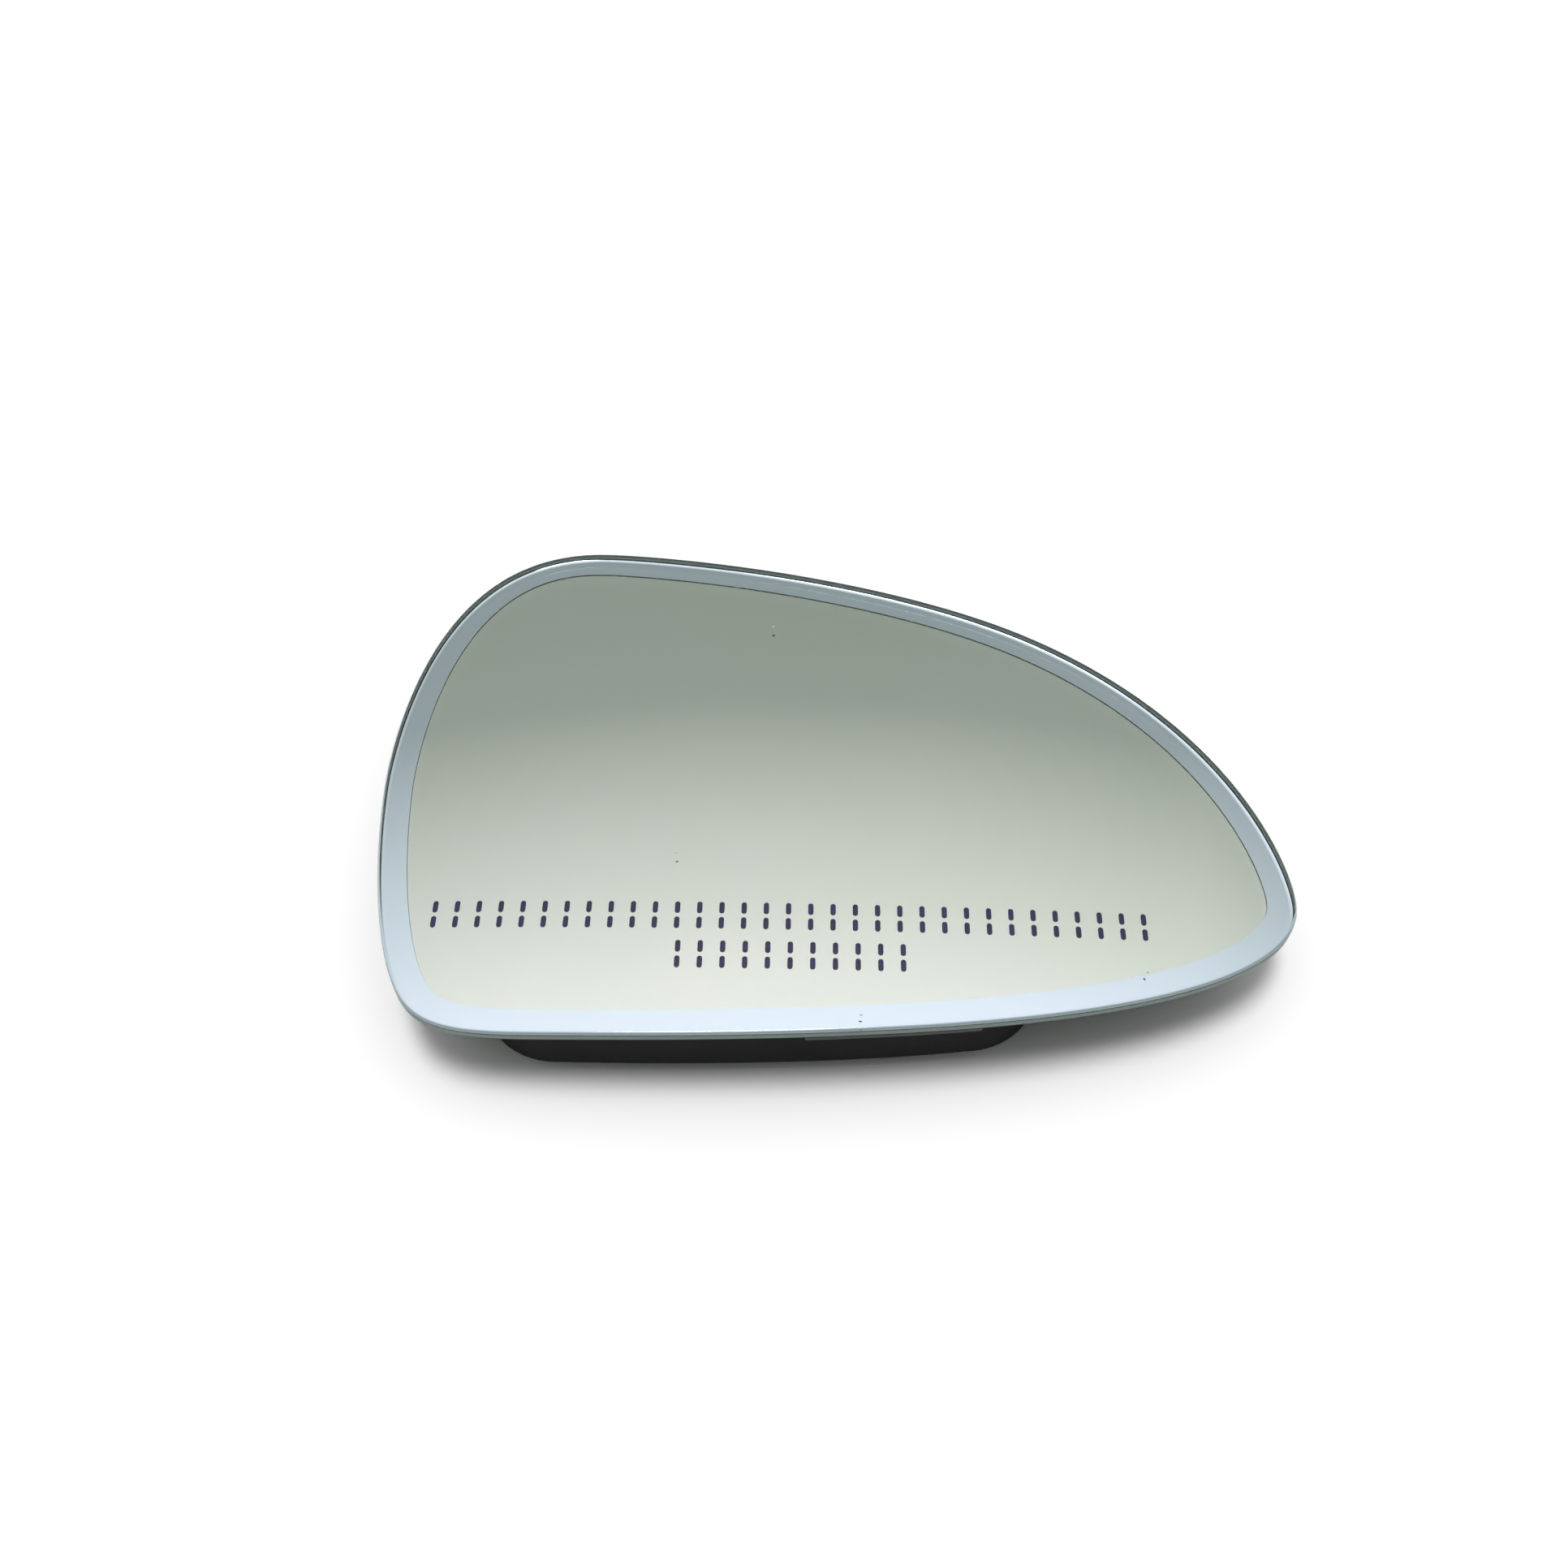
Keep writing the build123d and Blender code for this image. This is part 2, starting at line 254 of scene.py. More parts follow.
# %% [markdown]
# ## Clear front plate
# The front plate is float glass. A wheel grinds its edge, and a second one polishes a small round on the
# front corner. Glass bends light at its surface and swallows a little red on long paths, so a thick edge
# looks green. Both come from the shader: a transmission of one with the refractive index of float glass,
# and a volume that absorbs. The back of the plate touches the filled cell, whose index is nearly the same,
# so light crosses there without a bend or a second reflection. Free, ground and bonded faces could be three
# finishes, but a volume has to be entered and left through the same finish. So there is one, and two
# attributes of the mesh tell it which faces are ground and which are bonded.

# %% Float glass
def float_glass():
    """Float glass: polished with a faint film from wiping, dull and grey-green where it was ground.

    The ground_zone attribute is 0 on polished and 1 on ground faces, and each setting runs from one to the
    other. The bonded_zone attribute is 1 where the cell fills the back, and the index is one there.
    """
    finish, tree, place = start_finish("float_glass")
    zone = add_node(tree, "ShaderNodeAttribute", attribute_name="ground_zone").outputs["Fac"]
    bond = add_node(tree, "ShaderNodeAttribute", attribute_name="bonded_zone").outputs["Fac"]
    index = add_node(tree, "ShaderNodeMapRange", {"Value": bond, "To Min": 1.52, "To Max": 1.0})
    film = add_node(tree, "ShaderNodeTexNoise", {"Vector": place, "Scale": per_mm(18), "Detail": 3})
    haze = add_node(tree, "ShaderNodeMapRange", {"Value": film.outputs["Fac"], "From Min": 0.45,
                                                 "From Max": 0.75, "To Min": 0.0, "To Max": 0.012})
    marks = add_node(tree, "ShaderNodeTexNoise", {"Vector": place, "Scale": per_mm(0.3), "Detail": 4})
    grey = add_node(tree, "ShaderNodeMix", {"Factor": marks.outputs["Fac"], "A": linear("#62756F"),
                                            "B": linear("#7C8E87")}, data_type="RGBA")
    tone = add_node(tree, "ShaderNodeMix", {"Factor": zone, "A": linear("#FFFFFF"),
                                            "B": grey.outputs["Result"]}, data_type="RGBA")
    dull = add_node(tree, "ShaderNodeMapRange", {
        "Value": zone, "To Min": haze.outputs["Result"], "To Max": 0.5})
    clear = add_node(tree, "ShaderNodeMapRange", {"Value": zone, "To Min": 1.0, "To Max": 0.15})
    depth = add_node(tree, "ShaderNodeMapRange", {"Value": zone, "To Min": 0.0, "To Max": 0.2})
    dents = add_node(tree, "ShaderNodeBump", {"Height": marks.outputs["Fac"], "Distance": 0.02 * MM,
                                              "Strength": depth.outputs["Result"]})
    glass = add_node(tree, "ShaderNodeBsdfPrincipled", {
        "Base Color": tone.outputs["Result"], "Roughness": dull.outputs["Result"],
        "IOR": index.outputs["Result"], "Transmission Weight": clear.outputs["Result"],
        "Normal": dents.outputs["Normal"]})
    bulk = add_node(tree, "ShaderNodeVolumeAbsorption", {"Color": linear("#A9D8C6"), "Density": 18.0})
    add_node(tree, "ShaderNodeOutputMaterial", {
        "Surface": glass.outputs["BSDF"], "Volume": bulk.outputs["Volume"]})
    return finish


# %% Front plate
front_round = 0.65
back_arris = 0.15
ground_reach = 0.45
field_inset = 9.0
round_steps = 17
face_rings = 18
face_insets = (7, 5, 3.4, 2.2, 1.2)
back_insets = (1.4, 3, 5)
back_rings = 14


def inner_rows(level, shares):
    """Rows of a profile inside the rim zone, which are drawn from the rim zone towards the axis."""
    return [(field_inset, share, level, 0) for share in shares]


def front_plate_profile():
    """From the middle of the face out to the rim, over the round edge, down the wall and back inside.

    The round edge is a quarter circle: at an angle a its inset is r (1 - sin a) and its drop r (1 - cos a).
    """
    turn = np.radians(np.linspace(0, 90, round_steps))
    rows = inner_rows(front_face, np.linspace(0, 1, face_rings))
    rows += [(inset, 1, front_face, 0) for inset in face_insets]
    rows += [(front_round * (1 - np.sin(a)), 1, front_face, front_round * (1 - np.cos(a))) for a in turn]
    rows += [(0, 1, front_back, -back_arris), (back_arris, 1, front_back, 0)]
    rows += [(inset, 1, front_back, 0) for inset in (ground_reach, *back_insets)]
    return rows + inner_rows(front_back, np.linspace(1, 0, back_rings))


front_mesh = skin("front_plate", carry(front_plate_profile()), has_poles=True)
add_piece(front_mesh, "clear_glass", float_glass(), "front_glass")
# Column k of the faces lies between rows k + 1 and k + 2, and the fans around the two poles come last
profile_rows = np.array(front_plate_profile())
ground_rows = np.flatnonzero((profile_rows[:, 0] < ground_reach) & (profile_rows[:, 2] < front_face))
is_ground = np.zeros((len(rim), len(profile_rows) - 3), dtype=np.float32)
is_ground[:, ground_rows[0] - 2:ground_rows[-1]] = 1
is_bonded = np.zeros_like(is_ground)
is_bonded[:, ground_rows[-1]:] = 1
for zone_name, zone, back_pole in (("ground_zone", is_ground, 0), ("bonded_zone", is_bonded, 1)):
    poles = np.repeat(np.array([0, back_pole], dtype=np.float32), len(rim))
    attribute = front_mesh.attributes.new(zone_name, "FLOAT", "FACE")
    attribute.data.foreach_set("value", np.concatenate([zone.ravel(), poles]))
print("ground faces:", int(is_ground.sum()), "bonded faces:", int(is_bonded.sum()) + len(rim))

# %% [markdown]
# ## Silvered band and seal
# The dimming gel is held in by a seal that runs around between the plates. A ring of bluish chrome on the
# back of the front plate hides it. That ring is the pale band around the mirror. It lies a little above the
# mirror coat, so the shaded wall of the seal shows beside it as a fine line wherever the wall faces the
# viewer. Painting the band into the coat would be simpler, but that line would then be missing.

# %% Band and seal finishes
def band_chrome():
    """Chrome evaporated on glass: a bluish mirror, slightly soft because the layer is thin and grainy."""
    finish, tree, place = start_finish("evaporated_chrome")
    grain = add_node(tree, "ShaderNodeTexNoise", {"Vector": place, "Scale": per_mm(0.4), "Detail": 2})
    soft = add_node(tree, "ShaderNodeMapRange", {
        "Value": grain.outputs["Fac"], "To Min": 0.0, "To Max": 0.03})
    metal = add_node(tree, "ShaderNodeBsdfPrincipled", {
        "Base Color": linear("#C5D3DB"), "Metallic": 1.0, "Roughness": soft.outputs["Result"]})
    add_node(tree, "ShaderNodeOutputMaterial", {"Surface": metal.outputs["BSDF"]})
    return finish


def seal_epoxy():
    """Cured epoxy with glass beads: milky and satin, with fine specks."""
    finish, tree, place = start_finish("cured_epoxy")
    beads = add_node(tree, "ShaderNodeTexVoronoi", {"Vector": place, "Scale": per_mm(0.35)})
    tone = add_node(tree, "ShaderNodeMix", {"Factor": beads.outputs["Distance"], "A": linear("#D6E4DD"),
                                            "B": linear("#EAF4EF")}, data_type="RGBA")
    resin = add_node(tree, "ShaderNodeBsdfPrincipled", {
        "Base Color": tone.outputs["Result"], "Roughness": 0.5, "IOR": 1.55})
    add_node(tree, "ShaderNodeOutputMaterial", {"Surface": resin.outputs["BSDF"]})
    return finish


# %% Band and seal
seal_inset = 1.4
seal_width = 3.8
band_gap = 0.01
band_thickness = 0.03


def ring_profile(inset, width, back, front, steps=6):
    """Closed four-sided section, from its inner front corner outwards and around."""
    spread = np.linspace(inset + width, inset, steps)
    rows = [(place, 1, front, 0) for place in spread]
    return rows + [(place, 1, back, 0) for place in spread[::-1]]


band_back = cell_face + band_gap
band_width = seal_inset + seal_width - ground_reach
band_profile = ring_profile(ground_reach, band_width, band_back, band_back + band_thickness)
band_mesh = skin("band_coat", carry(band_profile), has_poles=False)
add_piece(band_mesh, "seal_silver", band_chrome())
seal_profile = ring_profile(seal_inset, seal_width, cell_back, cell_face)
seal_mesh = skin("seal_ring", carry(seal_profile), has_poles=False)
add_piece(seal_mesh, "seal_silver", seal_epoxy(), "border_seal")

# %% [markdown]
# ## Dimming gel
# The gel fills the gap inside the seal. At rest it is clear with a breath of green, and it has nearly the
# index of glass, so no surface shows. One could give it that index and let the layers touch, but faces that
# lie on each other confuse a renderer. Behind the bonded back of the front plate every index counts from
# the gel's own, so the gel gets an index of one, and the thin gaps around it stay as hard to see as its
# faces.

# %% Gel
def clear_gel():
    """Clear gel at rest: no visible surface, a breath of green and faint clouds where it flowed in."""
    finish, tree, place = start_finish("clear_gel")
    flow = add_node(tree, "ShaderNodeTexNoise", {"Vector": place, "Scale": per_mm(40), "Detail": 2})
    tone = add_node(tree, "ShaderNodeMix", {"Factor": flow.outputs["Fac"], "A": linear("#FFFFFF"),
                                            "B": linear("#FCFEFC")}, data_type="RGBA")
    gel = add_node(tree, "ShaderNodeBsdfPrincipled", {
        "Base Color": tone.outputs["Result"], "Roughness": 0.0, "IOR": 1.0, "Transmission Weight": 1.0})
    add_node(tree, "ShaderNodeOutputMaterial", {"Surface": gel.outputs["BSDF"]})
    return finish


def plain_plate_profile(inset, back, front, chamfer, rings=(16, 6, 4, 10)):
    """Plate with chamfered edges: face, front chamfer, wall, back chamfer and back.

    The rings count the rows on the inner face, the outer face, the outer back and the inner back.
    """
    inner_face, outer_face, outer_back, inner_back = rings
    rows = inner_rows(front, np.linspace(0, 1, inner_face))
    rows += [(place, 1, front, 0) for place in np.linspace(field_inset, inset + chamfer, outer_face)[1:]]
    rows += [(inset, 1, front, chamfer), (inset, 1, back, -chamfer)]
    rows += [(place, 1, back, 0) for place in np.linspace(inset + chamfer, field_inset, outer_back)[:-1]]
    return rows + inner_rows(back, np.linspace(1, 0, inner_back))


gel_chamfer = 0.02
gel_profile = plain_plate_profile(seal_inset + seal_width, cell_back, cell_face, gel_chamfer)
gel_mesh = skin("gel_fill", carry(gel_profile), has_poles=True)
add_piece(gel_mesh, "dimming_gel", clear_gel(), "cell_gel")

# %% [markdown]
# ## Rear plate and mirror coat
# The rear plate carries the coat that makes the mirror. Only its edge shows, as a dark line under the front
# plate. The whole plate is coloured near black, painted shade for the shade under the front plate's overhang.
# The coat is metal a few hundred atoms thick. It could be a second finish on the plate's face. Here it is a
# piece of its own, one or two hundredths of a millimetre thick, so its margin can stay clear of the plate's
# edge, and that is far too thin to see.

# %% Rear plate finishes
def painted_shade_edge():
    """Ground glass coloured near black, painted shade for the shade under the front plate: dull, with faint
    marks.
    """
    finish, tree, place = start_finish("painted_shade_black_glass")
    marks = add_node(tree, "ShaderNodeTexNoise", {"Vector": place, "Scale": per_mm(0.6), "Detail": 4})
    # painted shade: near-black tone for the plate's edge, which lies in shade under the front plate
    tone = add_node(tree, "ShaderNodeMix", {"Factor": marks.outputs["Fac"], "A": linear("#0C0E0E"),
                                            "B": linear("#1C2020")}, data_type="RGBA")
    primer = add_node(tree, "ShaderNodeBsdfPrincipled", {
        "Base Color": tone.outputs["Result"], "Roughness": 0.55, "IOR": 1.5, "Specular IOR Level": 0.25})
    add_node(tree, "ShaderNodeOutputMaterial", {"Surface": primer.outputs["BSDF"]})
    return finish


def mirror_metal():
    """Sputtered mirror coat: a smooth metal that keeps a little more green than red and blue."""
    finish, tree, place = start_finish("sputtered_mirror_coat")
    drift = add_node(tree, "ShaderNodeTexNoise", {"Vector": place, "Scale": per_mm(60), "Detail": 1})
    tone = add_node(tree, "ShaderNodeMix", {"Factor": drift.outputs["Fac"], "A": linear("#CFD4CB"),
                                            "B": linear("#CDD2C9")}, data_type="RGBA")
    metal = add_node(tree, "ShaderNodeBsdfPrincipled", {
        "Base Color": tone.outputs["Result"], "Metallic": 1.0, "Roughness": 0.0})
    add_node(tree, "ShaderNodeOutputMaterial", {"Surface": metal.outputs["BSDF"]})
    return finish


# %% Rear plate and coat
rear_inset = 0.8
rear_chamfer = 0.2
coat_margin = 1.6
coat_back = rear_face + 0.003
coat_face = rear_face + 0.018
coat_chamfer = 0.002

rear_profile = plain_plate_profile(rear_inset, rear_back, rear_face, rear_chamfer)
rear_mesh = skin("rear_plate", carry(rear_profile), has_poles=True)
add_piece(rear_mesh, "mirror_coat", painted_shade_edge(), "rear_glass")
coat_profile = plain_plate_profile(coat_margin, coat_back, coat_face, coat_chamfer)
coat_mesh = skin("mirror_coat", carry(coat_profile), has_poles=True)
add_piece(coat_mesh, "mirror_coat", mirror_metal())

# %% [markdown]
# ## Etched bars
# Two rows of plain bars are etched through the mirror coat, so that the dark blue backing shows. Each mark
# is a pair of short upright bars with round ends and a gap between them, as a stencil leaves it. They could
# be a mask in the coat's finish, but as thin solids they stay sharp at any distance.

# %% Etched bars
mark_height = 5.3
mark_width = 0.95
stencil_gap = 0.7
mark_pitch = 3.9
mark_rows = [
    # number of marks, then x and y of the row's middle in mm
    (33, 0.75, -26.9),
    (11, 1.2, -34.5),
]
mark_level = rear_face + 0.019
mark_depth = 0.02


def bar_outline(width, height, corners=24):
    """Outline of an upright bar with half-round ends.

    At an angle a it lies at (w/2 cos a, w/2 sin a), moved up or down by half the straight length.
    """
    angle = (np.arange(corners) + 0.5) * 2 * np.pi / corners
    straight = (height - width) / 2 * np.sign(np.sin(angle))
    return np.stack([width / 2 * np.cos(angle), width / 2 * np.sin(angle) + straight], axis=1)


def etched_bars():
    """Thin bars on the mirror coat: outlines that stand on its dome and rise by the etching's depth."""
    bar_height = (mark_height - stencil_gap) / 2
    outline = bar_outline(mark_width, bar_height)
    rows = [np.stack([middle + mark_pitch * (np.arange(count) - (count - 1) / 2),
                      np.full(count, level)], axis=1) for count, middle, level in mark_rows]
    middles = np.concatenate(rows)
    lift = np.array([[0, (bar_height + stencil_gap) / 2]])
    middles = np.concatenate([middles + lift, middles - lift])
    plan = middles[:, None, :] + outline[None, :, :]
    low = np.concatenate([plan, dome(plan, mark_level)[..., None]], axis=-1)
    high = np.concatenate([plan, dome(plan, mark_level + mark_depth)[..., None]], axis=-1)
    points = np.stack([low, high], axis=1).reshape(-1, 3) * MM
    bars, corners = plan.shape[:2]
    number = np.arange(bars * 2 * corners).reshape(bars, 2, corners)
    foot, top = number[:, 0], number[:, 1]
    walls = np.stack([foot, np.roll(foot, -1, axis=1), np.roll(top, -1, axis=1), top], axis=-1)
    faces = walls.reshape(-1, 4).tolist() + top.tolist() + foot[:, ::-1].tolist()
    return smooth_mesh("etched_bars", points, faces)


def etched_blue():
    """Frosted etching over a dark blue backing: matt, with a fine sandy grain."""
    finish, tree, place = start_finish("frosted_etching")
    grain = add_node(tree, "ShaderNodeTexNoise", {"Vector": place, "Scale": per_mm(0.25), "Detail": 3})
    tone = add_node(tree, "ShaderNodeMix", {"Factor": grain.outputs["Fac"], "A": linear("#04084E"),
                                            "B": linear("#0A1068")}, data_type="RGBA")
    frost = add_node(tree, "ShaderNodeBsdfPrincipled", {
        "Base Color": tone.outputs["Result"], "Roughness": 0.7, "Specular IOR Level": 0.1})
    add_node(tree, "ShaderNodeOutputMaterial", {"Surface": frost.outputs["BSDF"]})
    return finish


add_piece(etched_bars(), "mirror_coat", etched_blue())

# %% [markdown]
# ## Dust
# A few specks lie on the face. Each shows twice, because the coat below mirrors it. They could be spots in
# the finish of the glass, but then the mirror image would be missing. They are flat grains: a squashed
# sphere whose radius wanders a little with the angle, from a seeded draw.

# %% Dust specks
speck_places = [
    # x and y in mm
    (-19.6, -15.2),
    (13.3, -46.2),
    (62.5, -36.5),
    (-3.5, 38.6),
]
speck_radius = 0.22
speck_height = 0.09


def dust_grid(middle, draw, around=20, along=9):
    """Squashed sphere: radius times (1 + a cos(2 angle) + b cos(3 angle)), lying on the front face."""
    turn = np.linspace(0, -2 * np.pi, around, endpoint=False)[:, None]
    tilt = np.linspace(0, np.pi, along)[None, :]
    wander = 1 + draw.uniform(0.15, 0.4) * np.cos(2 * turn + draw.uniform(0, 6))
    wander += draw.uniform(0.1, 0.25) * np.cos(3 * turn + draw.uniform(0, 6))
    reach = speck_radius * draw.uniform(0.75, 1.1) * wander * np.sin(tilt)
    plan = np.array(middle) + np.stack([reach * np.cos(turn), reach * np.sin(turn)], axis=-1)
    height = dome(plan, front_face) + speck_height / 2 * (1 + np.cos(tilt))
    return np.concatenate([plan, height[..., None]], axis=-1) * MM


def house_dust():
    """Lint and grit: light grey and dull, uneven in tone."""
    finish, tree, place = start_finish("house_dust")
    clump = add_node(tree, "ShaderNodeTexNoise", {"Vector": place, "Scale": per_mm(0.2), "Detail": 3})
    tone = add_node(tree, "ShaderNodeMix", {"Factor": clump.outputs["Fac"], "A": linear("#8C8E92"),
                                            "B": linear("#CBCBCF")}, data_type="RGBA")
    lint = add_node(tree, "ShaderNodeBsdfPrincipled", {
        "Base Color": tone.outputs["Result"], "Roughness": 0.9})
    add_node(tree, "ShaderNodeOutputMaterial", {"Surface": lint.outputs["BSDF"]})
    return finish


draw = np.random.default_rng(7)
dust_finish = house_dust()
for number, middle in enumerate(speck_places, start=1):
    speck = skin(f"dust_speck_{number}", dust_grid(middle, draw), has_poles=True)
    add_piece(speck, "foam_tape", dust_finish)

# %% [markdown]
# ## Plastic and metal pieces
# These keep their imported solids, and each gets the finish of its real material. The carrier is moulded in a
# black plastic against a spark-eroded steel mould, which leaves a fine even grain. The clip ring has to
# spring, so it is a smoother and harder plastic.

# %% Plastics
def carrier_plastic():
    """Black ABS moulded on a spark-eroded steel: dull, with a grain of about a third of a millimetre."""
    finish, tree, place = start_finish("grained_black_abs")
    grain = add_node(tree, "ShaderNodeTexNoise", {"Vector": place, "Scale": per_mm(0.35), "Detail": 4})
    cloud = add_node(tree, "ShaderNodeTexNoise", {"Vector": place, "Scale": per_mm(14), "Detail": 3})
    tone = add_node(tree, "ShaderNodeMix", {"Factor": cloud.outputs["Fac"], "A": linear("#0D0D0E"),
                                            "B": linear("#151516")}, data_type="RGBA")
    sheen = add_node(tree, "ShaderNodeMapRange", {
        "Value": cloud.outputs["Fac"], "To Min": 0.45, "To Max": 0.65})
    dents = add_node(tree, "ShaderNodeBump", {"Height": grain.outputs["Fac"], "Strength": 0.35,
                                              "Distance": 0.05 * MM})
    plastic = add_node(tree, "ShaderNodeBsdfPrincipled", {
        "Base Color": tone.outputs["Result"], "Roughness": sheen.outputs["Result"], "IOR": 1.53,
        "Specular IOR Level": 0.05, "Normal": dents.outputs["Normal"]})
    add_node(tree, "ShaderNodeOutputMaterial", {"Surface": plastic.outputs["BSDF"]})
    return finish


def ring_plastic():
    """Black acetal moulded in a polished mould: waxy, with faint flow lines."""
    finish, tree, place = start_finish("smooth_black_acetal")
    flow = add_node(tree, "ShaderNodeTexNoise", {"Vector": place, "Scale": per_mm(6), "Detail": 4,
                                                 "Distortion": 1.5})
    tone = add_node(tree, "ShaderNodeMix", {"Factor": flow.outputs["Fac"], "A": linear("#202022"),
                                            "B": linear("#323235")}, data_type="RGBA")
    sheen = add_node(tree, "ShaderNodeMapRange", {
        "Value": flow.outputs["Fac"], "To Min": 0.28, "To Max": 0.42})
    plastic = add_node(tree, "ShaderNodeBsdfPrincipled", {
        "Base Color": tone.outputs["Result"], "Roughness": sheen.outputs["Result"], "IOR": 1.48})
    add_node(tree, "ShaderNodeOutputMaterial", {"Surface": plastic.outputs["BSDF"]})
    return finish


# %% [markdown]
# The spring clips are rolled from a thin tinned strip, the blades, pins and rivets are tinned brass.
# Rolling leaves fine lines along the strip, and tin dulls in clouds. The upper part of the clips lies in
# shade under the front plate, and is coloured near black there as painted shade. The level of that painted
# shade is a distance from the centre of curvature, so it follows the glass.

# %% Metals
# painted shade: above this level the clips are coloured near black, for the shade under the front plate
painted_shade_level = rear_face - 0.95
painted_shade_fade = 0.1


def tinned_strip():
    """Tinned spring strip: dull grey with rolling lines along it, and painted shade, near black, on its upper
    part.

    The lines are a noise that is drawn out along X, because the clips run mostly that way.
    """
    finish, tree, place = start_finish("rolled_tinned_strip")
    along = add_node(tree, "ShaderNodeMapping", {"Vector": place, "Scale": (0.03, 1, 1)})
    lines = add_node(tree, "ShaderNodeTexNoise", {"Vector": along.outputs["Vector"], "Scale": per_mm(0.12),
                                                  "Detail": 3})
    tone = add_node(tree, "ShaderNodeMix", {"Factor": lines.outputs["Fac"], "A": linear("#363839"),
                                            "B": linear("#484A4C")}, data_type="RGBA")
    sheen = add_node(tree, "ShaderNodeMapRange", {
        "Value": lines.outputs["Fac"], "To Min": 0.38, "To Max": 0.52})
    depth = add_node(tree, "ShaderNodeVectorMath", {
        0: place, 1: (0, 0, curve_centre * MM)}, operation="DISTANCE")
    # painted shade: near black is mixed in above the level, where the clips lie in shade under the front
    # plate
    painted_shade = add_node(tree, "ShaderNodeMapRange", {
        "Value": depth.outputs["Value"], "From Min": (painted_shade_level - painted_shade_fade - curve_centre) * MM,
        "From Max": (painted_shade_level - curve_centre) * MM})
    shaded_strip_tone = add_node(tree, "ShaderNodeMix", {
        "Factor": painted_shade.outputs["Result"], "A": tone.outputs["Result"],
        "B": linear("#0B0B0C")}, data_type="RGBA")
    metal = add_node(tree, "ShaderNodeBsdfPrincipled", {
        "Base Color": shaded_strip_tone.outputs["Result"], "Metallic": 1.0, "Roughness": sheen.outputs["Result"]})
    add_node(tree, "ShaderNodeOutputMaterial", {"Surface": metal.outputs["BSDF"]})
    return finish


def tinned_brass():
    """Tinned brass: silvery with warm clouds where the tin is thin."""
    finish, tree, place = start_finish("tinned_brass")
    cloud = add_node(tree, "ShaderNodeTexNoise", {"Vector": place, "Scale": per_mm(2.5), "Detail": 5})
    tone = add_node(tree, "ShaderNodeMix", {"Factor": cloud.outputs["Fac"], "A": linear("#D8D3C4"),
                                            "B": linear("#BFA673")}, data_type="RGBA")
    sheen = add_node(tree, "ShaderNodeMapRange", {
        "Value": cloud.outputs["Fac"], "To Min": 0.25, "To Max": 0.45})
    metal = add_node(tree, "ShaderNodeBsdfPrincipled", {
        "Base Color": tone.outputs["Result"], "Metallic": 1.0, "Roughness": sheen.outputs["Result"]})
    add_node(tree, "ShaderNodeOutputMaterial", {"Surface": metal.outputs["BSDF"]})
    return finish


# %% [markdown]
# The heater is a black film with conductor tracks printed on it, and the tape that bonds it is a dense
# foam. Both show only at their edges and through the windows of the carrier.

# %% Film and foam
track_pitch = 3


def heater_film():
    """Printed polyester film: black and smooth, with slightly lighter tracks.

    A wave texture of scale s repeats every 2 pi / (20 s), so the scale for a pitch has that factor.
    """
    finish, tree, place = start_finish("printed_polyester_film")
    tracks = add_node(tree, "ShaderNodeTexWave", {
        "Vector": place, "Scale": per_mm(track_pitch) * 2 * np.pi / 20}, bands_direction="Y")
    tone = add_node(tree, "ShaderNodeMix", {"Factor": tracks.outputs["Fac"], "A": linear("#161618"),
                                            "B": linear("#2C2A29")}, data_type="RGBA")
    film = add_node(tree, "ShaderNodeBsdfPrincipled", {
        "Base Color": tone.outputs["Result"], "Roughness": 0.3, "IOR": 1.57})
    add_node(tree, "ShaderNodeOutputMaterial", {"Surface": film.outputs["BSDF"]})
    return finish


def foam_tape():
    """Closed-cell foam: charcoal and matt, with cells of about 0.4 mm."""
    finish, tree, place = start_finish("closed_cell_foam")
    cells = add_node(tree, "ShaderNodeTexVoronoi", {"Vector": place, "Scale": per_mm(0.4)})
    tone = add_node(tree, "ShaderNodeMix", {"Factor": cells.outputs["Distance"], "A": linear("#19191B"),
                                            "B": linear("#37373A")}, data_type="RGBA")
    dents = add_node(tree, "ShaderNodeBump", {"Height": cells.outputs["Distance"], "Strength": 0.5,
                                              "Distance": 0.1 * MM})
    foam = add_node(tree, "ShaderNodeBsdfPrincipled", {
        "Base Color": tone.outputs["Result"], "Roughness": 0.9, "Normal": dents.outputs["Normal"]})
    add_node(tree, "ShaderNodeOutputMaterial", {"Surface": foam.outputs["BSDF"]})
    return finish


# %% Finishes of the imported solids
strip_finish = tinned_strip()
brass_finish = tinned_brass()
node_finishes = {
    "carrier_plate": carrier_plastic(),
    "clip_ring": ring_plastic(),
    "lower_bus_clip": strip_finish,
    "upper_bus_clip": strip_finish,
    "lower_heater_blade": brass_finish,
    "upper_heater_blade": brass_finish,
    "terminal_rivets": brass_finish,
    "dimming_pins": brass_finish,
    "heater_foil": heater_film(),
    "bonding_tape": foam_tape(),
}
for node_name, finish in node_finishes.items():
    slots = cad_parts[node_name].material_slots
    for slot in slots:
        slot.material = finish
    print(node_name, "gets", finish.name)

# %% [markdown]
# ## Floor
# The glass lies face up on a plain white sheet, which is stage and not part of the object. It is wide
# enough that its edges stay out of the camera's view.

# %% Floor
floor_level = cad_low.z
floor_reach = 3.0


